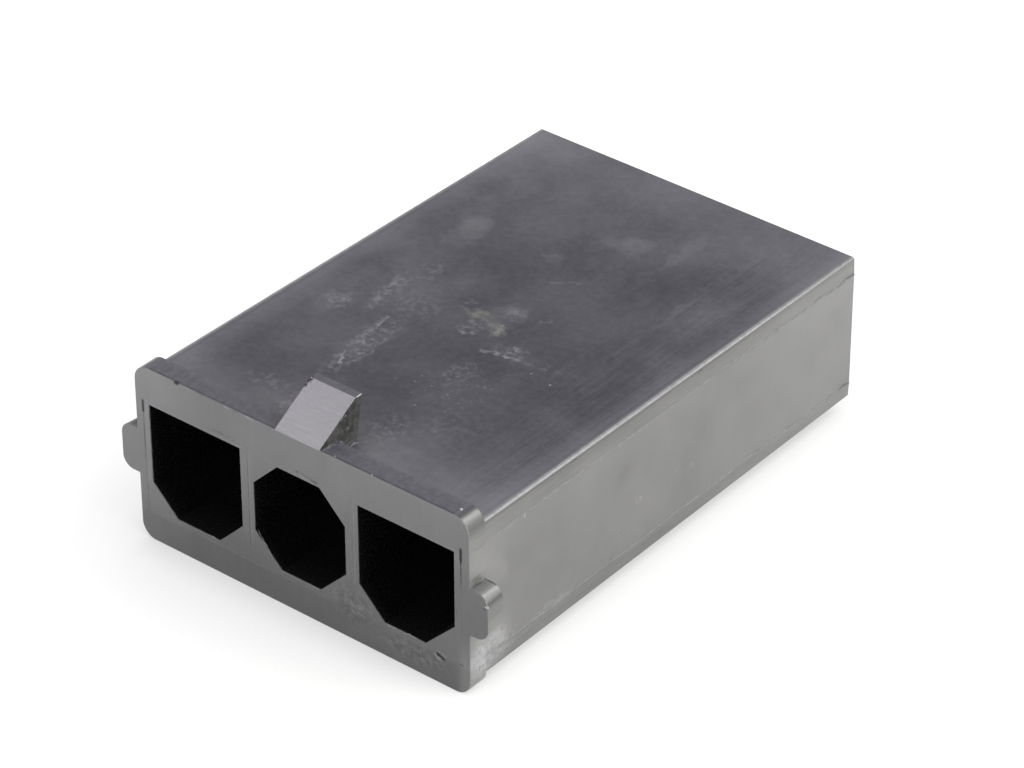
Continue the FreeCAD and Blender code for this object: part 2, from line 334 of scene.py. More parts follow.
class HousingFinish(PropertyGroup):
    """The moulded plastic's look."""

    plastic: FloatVectorProperty(
        name="Plastic", description="Colour of the clean moulded plastic", **COLOUR,
        default=(0.0965, 0.096, 0.099),
    )
    # The roof's tint is painted light: a bluish cast of the cool light from above
    roof_tint: FloatVectorProperty(
        name="Roof Tint", description="Colour that the film of handling adds to the plastic on top",
        **COLOUR, default=(0.0012, 0.0, 0.0125),
    )
    ramp_tint: FloatVectorProperty(
        name="Ramp Tint", description="Colour that the plastic gains on the latch ramp's face",
        **COLOUR, default=(0.0095, 0.0, 0.0145),
    )
    # The film's colour also paints highlights: on the roof's long edges, on the mating face's lines and
    # on the side's flash
    film: FloatVectorProperty(
        name="Film", description="Colour of the whitish film and of scuffs", **COLOUR,
        default=(0.34, 0.333, 0.36),
    )
    residue: FloatVectorProperty(
        name="Residue", description="Colour of the few yellowish deposits on the roof", **COLOUR,
        default=(0.34, 0.345, 0.27),
    )
    # The hollows' colour is painted shade that darkens the mouths' walls inside, which are also a
    # little glossier
    hollow: FloatVectorProperty(
        name="Hollow", description="Colour of the polished walls inside the mouths", **COLOUR,
        default=(0.0065, 0.0065, 0.0072),
    )
    roughness: FloatProperty(
        name="Roughness", description="How matt the clean plastic is", subtype="FACTOR", min=0.0,
        max=1.0, default=0.38,
    )
    scuffing: FloatProperty(
        name="Scuffing", description="How strong the scuffs on the roof and collar are",
        subtype="FACTOR", min=0.0, max=2.0, default=1.0,
    )
    # The roof's long edges are made paler partly as wear and partly as a painted highlight
    edge_wear: FloatProperty(
        name="Edge Wear", description="How far the roof's long edges are rubbed pale",
        subtype="FACTOR", min=0.0, max=2.0, default=1.0,
    )


class FlashSizes(PropertyGroup):
    """The flash along the parting lines."""

    height: FloatProperty(
        name="Height", description="How far the flash stands out at its highest", min=0.0,
        max=0.4 * MM, default=0.17 * MM, **LENGTH,
    )
    thickness: FloatProperty(
        name="Thickness", description="How thick the flash is at its foot", min=0.02 * MM,
        max=0.4 * MM, default=0.12 * MM, **LENGTH,
    )


class WitnessSizes(PropertyGroup):
    """The lines and slivers on the mating face."""

    relief: FloatProperty(
        name="Relief", description="How far the insert lines stand out", min=0.0, max=0.1 * MM,
        default=0.025 * MM, **LENGTH,
    )
    width: FloatProperty(
        name="Width", description="How wide the insert lines are", min=0.02 * MM, max=0.4 * MM,
        default=0.09 * MM, **LENGTH,
    )
    sliver_scale: FloatProperty(
        name="Slivers", description="Scale of the slivers at the mouths' edges", min=0.1, max=2.0,
        default=1.0, subtype="FACTOR",
    )


class GateSizes(PropertyGroup):
    """The gate's mark."""

    x: FloatProperty(
        name="Across", description="Place along the row", default=13.16 * MM, **LENGTH,
    )
    z: FloatProperty(
        name="Up", description="Height over the floor", default=2.36 * MM, **LENGTH,
    )
    width: FloatProperty(
        name="Width", description="Across the lip, along the row", min=0.1 * MM, default=0.8 * MM,
        **LENGTH,
    )
    height: FloatProperty(
        name="Height", description="Across the lip, upwards", min=0.1 * MM, default=0.5 * MM,
        **LENGTH,
    )
    lip: FloatProperty(
        name="Lip", description="How far the lip stands out", min=0.01 * MM, default=0.07 * MM,
        **LENGTH,
    )


class GrainSizes(PropertyGroup):
    """The rubbed-off grains."""

    number: IntProperty(name="Number", description="Grains in the roof's trail", min=0, default=16)
    size: FloatProperty(
        name="Size", description="Radius of the largest grain in the trail", min=0.01 * MM,
        default=0.075 * MM, **LENGTH,
    )
    seed: IntProperty(name="Seed", description="Another seed scatters them anew", default=5)


class StudioLook(PropertyGroup):
    """The camera, floor and lamps."""

    azimuth: FloatProperty(
        name="Azimuth", description="Angle of the camera to the right of the mating face",
        subtype="ANGLE", unit="ROTATION", default=math.radians(39.247),
    )
    elevation: FloatProperty(
        name="Elevation", description="Angle of the camera above the floor", subtype="ANGLE",
        unit="ROTATION", default=math.radians(33.818),
    )
    roll: FloatProperty(
        name="Roll", description="Turn of the camera about its own line of sight", subtype="ANGLE",
        unit="ROTATION", default=math.radians(-0.118),
    )
    distance: FloatProperty(
        name="Distance", description="From the camera to the point that it aims at",
        subtype="DISTANCE", unit="LENGTH", min=0.05, default=0.32877,
    )
    aim: FloatVectorProperty(
        name="Aim", description="The point that the camera aims at", subtype="XYZ", unit="LENGTH",
        size=3, default=(0.001242, -0.000666, 0.00885),
    )
    lens: FloatProperty(
        name="Lens", description="Focal length on a sensor 36 mm wide", subtype="DISTANCE_CAMERA",
        unit="CAMERA", min=10.0, default=155.065,
    )
    dome: FloatProperty(
        name="Dome", description="Light from all round the studio", min=0.0, default=0.15,
    )
    floor_colour: FloatVectorProperty(
        name="Floor", description="Colour of the floor", **COLOUR, default=(0.8, 0.8, 0.8),
    )


def direction(azimuth, elevation):
    """The way from the object to a place seen at an azimuth right of the mating face."""
    level = math.cos(elevation)
    return Vector((math.sin(azimuth) * level, -math.cos(azimuth) * level, math.sin(elevation)))


def looking_matrix(place, towards, roll=0.0):
    """Stands a camera or lamp at a place, with its own minus Z along the way to look."""
    turn = towards.to_track_quat("-Z", "Y").to_matrix().to_4x4()
    return Matrix.Translation(place) @ turn @ Matrix.Rotation(roll, 4, "Z")


# Marks on the roof, the collar's roof included. Spots give a centre (x, depth), the radii along
# x and depth and a strength; lines give two ends (x, depth), a width and a strength.
ROOF_HAZE = [
    ((-12.2, 43.0), (5.0, 6.0), 0.04), ((-11.0, 45.5), (5.0, 3.0), 0.025),
    ((-12.6, 28.5), (2.2, 4.4), 0.05), ((-9.6, 31.0), (2.0, 3.8), 0.13),
    ((-8.4, 22.5), (4.5, 6.0), 0.035), ((-4.5, 25.5), (2.8, 2.6), 0.08),
    ((0.0, 23.0), (2.2, 2.4), 0.13), ((-2.2, 31.8), (1.0, 1.1), 0.10),
    ((1.3, 37.0), (1.8, 2.2), 0.09), ((-0.8, 36.0), (1.4, 1.6), 0.06),
    ((-4.5, 36.0), (2.4, 3.0), 0.02), ((-6.5, 40.0), (2.4, 2.4), 0.02),
    ((4.8, 38.0), (0.7, 9.0), 0.05), ((9.6, 33.0), (0.6, 13.0), 0.05),
    ((-11.0, 17.0), (2.4, 2.6), 0.06), ((-6.0, 3.4), (9.0, 1.8), 0.06),
    ((6.0, 4.4), (5.0, 3.0), 0.09), ((2.6, 13.0), (3.0, 6.0), 0.02),
    ((-5.6, 14.0), (1.6, 6.0), 0.06), ((3.6, 19.4), (3.0, 1.8), 0.04),
    ((-10.8, 36.5), (2.0, 5.5), 0.06), ((-12.2, 20.5), (1.8, 2.8), 0.07),
    ((11.8, 32.0), (1.2, 6.5), 0.05),
]
ROOF_SCUFFS = [
    ((-0.9, 21.4), (1.3, 1.3), 0.18), ((0.9, 21.2), (0.9, 1.4), 0.20),
    ((0.8, 23.8), (1.3, 1.1), 0.26), ((3.4, 19.6), (1.8, 1.4), 0.32),
    ((6.8, 19.8), (1.6, 0.9), 0.20), ((-5.7, 15.2), (1.6, 4.2), 0.13),
    ((-5.3, 11.4), (1.4, 3.8), 0.13), ((2.4, 15.0), (1.6, 2.6), 0.14),
    ((-9.0, 20.6), (1.0, 3.2), 0.26), ((-8.2, 24.6), (1.4, 2.0), 0.14),
    ((-7.7, 5.6), (2.4, 1.2), 0.16), ((-4.6, 4.6), (1.1, 2.2), 0.26),
    ((3.0, 6.4), (2.0, 2.8), 0.16), ((-11.0, 17.3), (1.4, 1.8), 0.20),
    ((-6.2, 20.0), (3.4, 2.6), 0.09), ((-1.0, 19.9), (1.1, 0.8), 0.4),
    ((2.9, 24.6), (0.6, 0.6), 0.22), ((6.4, 9.4), (3.4, 2.6), 0.07),
    ((-2.6, 22.6), (1.6, 1.2), 0.14),
]
ROOF_SCRATCHES = [
    ((-9.7, 22.8), (-8.4, 17.4), 0.40, 0.16), ((-6.8, 17.6), (-6.2, 12.4), 0.40, 0.13),
    ((-6.1, 12.0), (-5.6, 9.4), 0.34, 0.12), ((-5.0, 9.6), (-4.4, 13.4), 0.22, 0.14),
    ((-4.5, 13.0), (-4.9, 17.2), 0.20, 0.12), ((1.4, 18.5), (3.0, 19.0), 0.30, 0.26),
    ((2.8, 18.9), (5.8, 19.3), 0.24, 0.22), ((-0.6, 28.8), (1.8, 30.5), 0.20, 0.10),
    ((-13.6, 16.2), (-10.6, 17.6), 0.3, 0.08), ((-6.7, 17.8), (-6.3, 15.6), 0.20, 0.30),
    ((-5.2, 10.6), (-6.2, 12.2), 0.16, 0.34), ((-4.8, 10.2), (-5.6, 11.4), 0.14, 0.26),
    ((-5.4, 13.6), (-6.3, 14.6), 0.16, 0.26), ((2.25, 2.2), (2.5, 3.6), 0.14, 0.6),
    ((2.3, 3.3), (2.95, 4.2), 0.10, 0.5), ((2.2, 0.15), (2.6, 1.5), 0.12, 0.45),
]
ROOF_RESIDUE = [
    ((-1.3, 22.2), (0.9, 0.9), 0.22), ((0.9, 21.3), (0.8, 1.0), 0.28),
    ((0.2, 21.8), (1.0, 0.6), 0.14),
]

# Marks on the right side, by depth and height
SIDE_HAZE = [
    ((2.4, 2.6), (3.4, 2.5), 0.17), ((3.2, 4.4), (2.4, 1.6), 0.06), ((0.8, 2.6), (1.5, 2.8), 0.10),
    ((2.2, 11.0), (2.4, 1.7), 0.10), ((3.0, 9.0), (1.8, 1.8), 0.10), ((9.5, 2.7), (5.5, 0.5), 0.07),
    ((46.0, 8.0), (6.0, 5.0), 0.05),
]
# Pale scuffs on the side; the thin ones along the upper parting line are a painted highlight on the
# flash's top
SIDE_SCUFFS_AND_HIGHLIGHT = [
    ((2.6, 2.7), (3.3, 2.5), 0.24), ((19.6, 6.3), (0.5, 0.5), 0.20),
    ((24.2, 6.6), (0.5, 0.4), 0.14), ((26.4, 6.0), (0.9, 0.6), 0.10),
    ((8.6, 2.7), (3.6, 0.35), 0.20), ((6.23, 12.28), (0.3, 0.26), 0.6),
    ((4.6, 12.3), (1.6, 0.2), 0.2), ((16.0, 12.42), (14.0, 0.1), 0.22),
]
SIDE_POWDER = [
    ((2.4, 2.8), (3.6, 2.9), 1.0), ((0.6, 2.4), (1.6, 2.6), 0.6),
]
# Dark stains on the side; those along the upper parting line, under the roof's edge and above the ear
# are painted shade
SIDE_STAINS_AND_SHADE = [
    ((18.0, 9.6), (1.2, 0.9), 0.12), ((16.4, 2.6), (0.14, 0.35), 0.4),
    ((12.0, 13.85), (0.55, 0.09), 0.5), ((0.8, 9.9), (1.4, 0.45), 0.45),
    ((27.0, 13.7), (0.7, 0.08), 0.45), ((35.0, 12.38), (11.5, 0.11), 0.40),
    ((44.4, 12.36), (2.2, 0.16), 0.5), ((13.5, 12.4), (0.7, 0.09), 0.3),
    ((5.8, 2.35), (5.0, 0.16), 0.2),
]

# Marks on the mating face, by x and height
# Pale lines on the mating face: pale flash along the mouths' edges, and painted highlights along the
# mouths' left edges and beside the insert lines
FRONT_LINES_AND_HIGHLIGHTS = [
    ((-14.68, 5.2), (-14.68, 12.4), 0.26, 0.12), ((-4.72, 3.4), (-4.72, 12.3), 0.16, 0.06),
    ((-5.25, 7.6), (-5.25, 12.2), 0.32, 0.03), ((-14.92, 4.8), (-14.92, 12.4), 0.10, 0.10),
    ((5.2, 5.0), (5.2, 12.0), 0.14, 0.07), ((-14.0, 2.56), (-2.4, 2.5), 0.10, 0.05),
    ((-7.6, 12.42), (-5.2, 12.34), 0.09, 0.12), ((0.1, 12.34), (1.6, 12.06), 0.14, 0.18),
    ((8.0, 2.86), (11.0, 2.98), 0.12, 0.30), ((-12.0, 2.9), (-8.2, 2.9), 0.10, 0.12),
    ((-2.0, 2.96), (1.9, 3.0), 0.12, 0.16), ((12.4, 2.42), (13.3, 2.02), 0.22, 0.30),
    ((12.7, 2.76), (13.75, 2.52), 0.12, 0.16), ((-4.0, 12.62), (-2.0, 12.0), 0.1, 0.06),
    ((-14.4, 12.3), (14.4, 12.3), 0.08, 0.05), ((-5.0, 15.2), (-4.1, 15.2), 0.08, 0.55),
    ((-7.0, 15.19), (-6.2, 15.17), 0.07, 0.4),
]
# Dark stains on the mating face; those along the insert lines are painted shade of their grooves, and
# the one on the collar's top at x -11.58 is the painted dark of a pit
FRONT_STAINS_AND_SHADE = [
    ((-15.04, 9.4), (0.09, 3.4), 0.3), ((-15.04, 5.2), (0.08, 2.6), 0.3),
    ((15.04, 12.0), (0.15, 0.9), 0.8), ((15.02, 10.2), (0.11, 2.6), 0.4),
    ((-7.4, 12.66), (1.2, 0.09), 0.6), ((-5.0, 12.52), (0.5, 0.08), 0.4),
    ((-0.08, 12.52), (0.18, 0.14), 0.6), ((1.62, 12.32), (0.42, 0.17), 0.75),
    ((-4.88, 8.0), (0.06, 5.2), 0.4), ((15.0, 2.56), (0.35, 0.1), 0.6),
    ((-11.58, 15.22), (0.34, 0.16), 1.3), ((14.6, 6.9), (0.1, 0.6), 0.4),
    ((0.9, 12.5), (1.0, 0.05), 0.4), ((17.12, 8.42), (0.2, 0.14), 0.5),
    ((-6.0, 15.2), (0.5, 0.08), 0.6), ((-9.3, 15.22), (0.6, 0.06), 0.5),
    ((-7.9, 15.22), (0.4, 0.06), 0.4),
]
# Dark slits: painted shade of narrow gaps that the shape doesn't have
FRONT_SLIT_SHADE = [
    ((12.62, 2.58), (13.62, 2.30), 0.20, 1.0), ((15.03, 12.8), (15.03, 11.5), 0.20, 0.75),
    ((15.03, 11.6), (15.03, 9.6), 0.10, 0.4), ((-15.05, 12.45), (-15.05, 11.2), 0.18, 0.9),
    ((-15.05, 11.3), (-15.05, 7.0), 0.08, 0.3),
]

# Stains and painted shade at places that lie on none of the three faces, by centre, radii and
# strength. The first three, on the ears' tops, are painted shade, and so is the last, at the foot
# of the ramp
OTHER_STAINS_AND_SHADE = [
    ((16.3, 1.78, 9.45), (0.9, 0.18, 0.22), 0.9), ((15.86, 0.9, 9.6), (0.14, 1.0, 0.2), 0.8),
    ((-16.2, 0.9, 9.6), (0.75, 1.1, 0.25), 0.75), ((-2.08, 3.9, 17.6), (0.40, 0.46, 0.42), 1.7),
    ((-2.08, 3.45, 17.35), (0.2, 0.3, 0.3), 1.0), ((2.9, 0.8, 15.27), (0.9, 0.8, 0.3), 0.3),
]


def on_roof(point):
    """A mark's point on the roof, in x, depth and height."""
    return point[0], point[1], BODY_ROOF - point[1] * math.tan(BODY_DRAFT)


def on_side(point):
    """A mark's point on the right side, in x, depth and height."""
    return float(body_side(point[0])), point[0], point[1]


def on_front(point):
    """A mark's point on the mating face, in x, depth and height."""
    return point[0], 0.0, point[1]


# Through a face, a spot reaches this far, and within this share of its radii it has its full strength
SPOT_DEPTH = 1.5
SPOT_CORE = 0.3


def spots(mix, table, put, normal):
    """The sum of a table's spots on the face that a function puts them on, square to an axis."""
    parts = []
    for centre, radii, strength in table:
        radii = list(radii)
        radii.insert(normal, SPOT_DEPTH)
        parts.append(mix.spot(put(centre), radii, strength))
    return mix.plus(*parts)


def lines(mix, table, put, outward):
    """The sum of a table's lines on the face that a function puts them on."""
    parts = []
    for start, end, width, strength in table:
        parts.append(mix.stroke(put(start), put(end), outward, width, strength))
    return mix.plus(*parts)


# The painted shade of the hollows reaches this far past the mouths' walls
HOLLOW_MARGIN = 0.4


class Ground:
    """The faces of the housing as masks, and the noises that every layer of its plastic shares."""

    def __init__(self, mix):
        self.place, self.x, self.depth, self.height = mix.place()
        self.across = mix.math("ABSOLUTE", self.x)
        drawn_in = mix.times(self.depth, math.tan(BODY_DRAFT))
        over_roof = mix.plus(self.height, drawn_in, -BODY_ROOF)
        self.front = mix.ease(self.depth, 0.09, 0.03)
        off_front = mix.ease(self.depth, 0.03, 0.09)
        beside_ramp = mix.ease(self.across, RAMP_HALF_WIDTH + 0.03, RAMP_HALF_WIDTH + 0.01)
        on_ramp = mix.times(
            beside_ramp,
            mix.ease(self.height, COLLAR_ROOF - 0.02, COLLAR_ROOF + 0.02),
            mix.ease(self.depth, 4.8, 4.75),
        )
        slope = mix.plus(self.height, mix.times(self.depth, -RAMP_RISE / RAMP_RUN), -COLLAR_ROOF)
        flank = mix.times(
            mix.ease(self.across, RAMP_HALF_WIDTH - 0.015, RAMP_HALF_WIDTH - 0.005), beside_ramp,
            mix.ease(over_roof, 0.02, 0.1), mix.ease(slope, -0.01, -0.06),
        )
        self.flank = mix.times(flank, mix.ease(self.depth, 0.02, 0.2))
        self.ramp = mix.times(on_ramp, mix.ease(slope, -0.05, -0.02), mix.ease(self.depth, 4.02, 3.98))
        off_ramp = mix.ease(self.ramp, 1.0, 0.0)
        self.roof = mix.times(off_front, mix.ease(over_roof, -0.05, -0.02), off_ramp)
        self.side = mix.times(
            off_front, mix.ease(over_roof, -0.1, -0.2), mix.ease(self.across, 15.0, 15.15)
        )
        beside = mix.plus(self.across, drawn_in, -BODY_HALF_WIDTH)
        behind_collar = mix.ease(self.depth, COLLAR_DEPTH, COLLAR_DEPTH + 0.2)
        self.edge = mix.times(
            mix.ease(over_roof, -0.15, -0.05), mix.ease(beside, -0.42, -0.30), behind_collar
        )
        # Dark lines beside the roof's long rounded edges: painted shade that flanks their highlight
        above = mix.within(beside, -0.68, -0.58, 0.1)
        below = mix.times(mix.within(over_roof, -0.3, -0.2, 0.08), 1.5)
        self.rim = mix.times(
            mix.plus(above, below), mix.ease(over_roof, -0.5, -0.4), mix.ease(beside, -0.85, -0.75),
            behind_collar,
        )
        on_collar = mix.times(off_front, mix.ease(self.depth, COLLAR_DEPTH + 0.04, COLLAR_DEPTH))
        corner = (COLLAR_HALF_WIDTH - COLLAR_CORNER, COLLAR_ROOF - COLLAR_CORNER)
        self.corner = mix.times(
            on_collar, mix.ease(self.across, corner[0] - 0.2, corner[0]),
            mix.ease(self.height, corner[1] - 0.4, corner[1]),
        )
        self.corner_turn = self.turn_about(mix, *corner)
        shoulder = (HIGH.x - EAR_CORNER, ROW_HEIGHT + EAR_HALF_HEIGHT - EAR_CORNER)
        self.ear = mix.times(
            on_collar, mix.ease(self.across, COLLAR_HALF_WIDTH + 0.02, COLLAR_HALF_WIDTH + 0.06),
            mix.ease(self.height, ROW_HEIGHT - 0.4, ROW_HEIGHT),
        )
        self.ear_turn = self.turn_about(mix, *shoulder)
        half_row = PITCH + MOUTH_WIDTH / 2 + HOLLOW_MARGIN
        half_height = MOUTH_HEIGHT / 2 + HOLLOW_MARGIN
        # The mouths' insides, which take the painted shade, less of it towards the rear opening
        self.hollow = mix.times(
            mix.within(self.x, -half_row, half_row, 0.1),
            mix.within(self.height, ROW_HEIGHT - half_height, ROW_HEIGHT + half_height, 0.1),
            mix.within(self.depth, 0.12, TOTAL_LENGTH - 0.3, 0.1),
            mix.ease(self.depth, 34.0, 46.0, 1.0, 0.45),
        )
        self.cloud = mix.noise(self.place, 0.16, 4.0, 0.55)
        self.grain = mix.noise(self.place, 5.0, 3.0, 0.6)
        self.speckle = mix.noise(self.place, 1.7, 4.0, 0.7)
        self.flecks = mix.noise(self.place, 3.1, 1.0, 0.5)
        self.drawn = mix.noise(mix.stretched(self.place, 5.0, 0.14, 5.0), 1.0, 3.0, 0.65)
        self.loosely = mix.pushed(self.place, 0.45, 3.4)
        self.roughly = mix.pushed(self.place, 1.1, 1.1)
        self.hung = mix.noise(mix.stretched(self.place, 4.0, 1.0, 0.25), 1.0, 3.0, 0.6)
        self.milled = mix.noise(mix.stretched(self.place, 0.35, 5.0, 5.0), 1.0, 3.0, 0.6)

    def turn_about(self, mix, across, height):
        """The angle in degrees from straight up at which the place lies about a line."""
        turn = mix.math("ARCTAN2", mix.plus(self.across, -across), mix.plus(self.height, -height))
        return mix.times(turn, math.degrees(1.0))


def roof_tone(mix, ground):
    """How light the roof's plastic is: darkened all over as painted shade, dark in its middle, paler
    along its edges and at its ends.
    """
    x, depth = ground.x, ground.depth
    streaky = mix.plus(0.02, mix.ease(x, 6.0, 12.0, 0.0, 0.08))
    tone = mix.plus(
        0.285,
        mix.ease(x, -12.2, -15.6, 0.0, 0.57),
        mix.times(mix.within(x, -5.0, 9.0, 2.0), mix.within(depth, 10.0, 40.0, 3.0), -0.08),
        mix.ease(x, 13.0, 15.4, 0.0, 0.50),
        mix.ease(depth, 32.0, 46.5, 0.0, 0.38),
        mix.ease(depth, 7.5, 2.5, 0.0, 0.46),
        mix.times(mix.ease(depth, 15.0, 7.0), mix.ease(x, 2.0, 6.0), 0.22),
        mix.times(mix.within(x, 7.0, 12.0, 1.5), mix.within(depth, 17.0, 23.0, 3.0), -0.10),
        mix.ease(ground.cloud, 0.3, 0.7, -0.14, 0.14),
        mix.times(mix.ease(ground.drawn, 0.3, 0.7, -1.0, 1.0), streaky),
        mix.ease(ground.speckle, 0.35, 0.7, -0.06, 0.09),
    )
    # The collar's roof is darkened as painted shade as well
    collar = mix.plus(
        mix.ease(ground.speckle, 0.3, 0.7, 0.42, 0.78), mix.ease(depth, 1.2, 1.8, 0.0, 0.16)
    )
    tone = mix.towards(mix.ease(ground.height, COLLAR_ROOF - 0.3, COLLAR_ROOF - 0.2), tone, collar)
    shadow_line = mix.times(
        mix.within(depth, 0.08, 0.22, 0.08),
        mix.ease(ground.height, COLLAR_ROOF - 0.2, COLLAR_ROOF - 0.1),
    )
    # The crest's flat top is darkened a little more, as painted shade
    crest = mix.ease(ground.height, COLLAR_ROOF + 2.2, COLLAR_ROOF + 2.4, 1.0, 0.82)
    return mix.times(tone, mix.ease(shadow_line, 0.0, 1.0, 1.0, 0.5), crest)


def side_tone(mix, ground):
    """How light the side's plastic is: paler towards the rear as painted light from behind at the
    right, paler round the collar, and darker towards the bottom as painted shade.
    """
    depth, height = ground.depth, ground.height
    edges = mix.plus(mix.ease(height, 12.0, 12.6), mix.ease(height, 3.4, 2.4))
    return mix.plus(
        0.99,
        mix.ease(depth, 24.0, 46.0, 0.0, 0.18),
        mix.ease(height, 13.0, 13.7, 0.0, -0.10),
        mix.ease(depth, 5.0, 0.5, 0.0, 0.20),
        mix.times(mix.ease(height, 8.5, 12.0), mix.ease(height, 12.6, 12.4), 0.10),
        mix.ease(height, 3.2, 1.6, 0.0, -0.10),
        mix.ease(ground.cloud, 0.3, 0.7, -0.09, 0.09),
        mix.times(mix.ease(ground.drawn, 0.3, 0.7, -1.0, 1.0), mix.ease(edges, 0.0, 1.0, 0.02, 0.09)),
        mix.ease(ground.grain, 0.3, 0.7, -0.04, 0.04),
    )


def front_tone(mix, ground):
    """How light the mating face's plastic is: dark below the lower insert line, pale at the top, with
    painted shade that darkens it downwards towards the floor.
    """
    x, height = ground.x, ground.height
    webs = mix.plus(mix.within(x, -5.7, -4.3, 0.2), mix.within(x, 4.3, 5.7, 0.2))
    webs = mix.times(webs, mix.within(height, 4.4, 12.0, 0.5))
    crackled = mix.larger(
        mix.spot(on_front((5.0, 3.2)), (2.8, SPOT_DEPTH, 2.4)),
        mix.spot(on_front((10.5, 1.6)), (4.6, SPOT_DEPTH, 1.2)),
    )
    return mix.plus(
        0.69,
        mix.ease(height, 2.36, 2.6, 0.0, 0.12),
        mix.ease(height, 2.4, 6.5, 0.0, 0.13),
        mix.ease(height, 6.5, 14.0, 0.0, 0.37),
        mix.times(mix.within(x, -5.6, -4.4, 0.4), mix.within(height, 5.5, 11.0, 1.5), 0.12),
        mix.times(mix.ease(x, -8.0, -15.6), mix.ease(height, 1.0, 4.5, 0.4, 1.0), 0.46),
        mix.times(mix.ease(x, 14.4, 15.3), mix.ease(height, 6.0, 2.0), 0.45),
        mix.ease(ground.cloud, 0.3, 0.7, -0.08, 0.08),
        mix.times(mix.ease(ground.hung, 0.3, 0.7, -1.0, 1.0), mix.ease(webs, 0.0, 1.0, 0.03, 0.09)),
        mix.ease(ground.grain, 0.3, 0.7, -0.06, 0.06),
        mix.times(mix.ease(ground.speckle, 0.42, 0.62, -0.2, 0.3), crackled),
    )


def chatter(mix, ground):
    """The ripples that a slipping edge left across the roof, in light and dark."""
    mix.here = ground.roughly
    track = mix.plus(
        mix.spot(on_roof((-5.9, 15.4)), (1.3, 3.6, SPOT_DEPTH)),
        mix.spot(on_roof((-5.2, 11.4)), (1.0, 3.2, SPOT_DEPTH)),
    )
    mix.here = ground.place
    bent = mix.plus(
        mix.times(ground.depth, 9.0), mix.times(ground.cloud, 46.0),
        mix.times(ground.x, -3.4), mix.times(ground.speckle, 9.0),
    )
    return mix.times(mix.math("SINE", bent), track, mix.ease(ground.speckle, 0.42, 0.62), ground.roof)


# How light the rounded corners of the collar and of the ears are painted, by the turn from straight up:
# a painted highlight with painted shade on either side of it, and a value that none of them exceeds
PAINTED_LIGHT_TOP = 4.0
CORNER_PAINTED_LIGHT = [
    (0.0, 0.95), (8.0, 0.44), (18.0, 0.40), (28.0, 0.80), (36.0, 1.75), (44.0, 1.75), (54.0, 0.50),
    (64.0, 0.14), (76.0, 0.55), (90.0, 0.86),
]
EAR_PAINTED_LIGHT = [
    (-20.0, 1.55), (-8.0, 1.9), (8.0, 1.35), (20.0, 1.50), (32.0, 1.65), (42.0, 1.65), (52.0, 1.40),
    (62.0, 0.72), (70.0, 0.26), (80.0, 0.50), (92.0, 0.80), (104.0, 0.90),
]


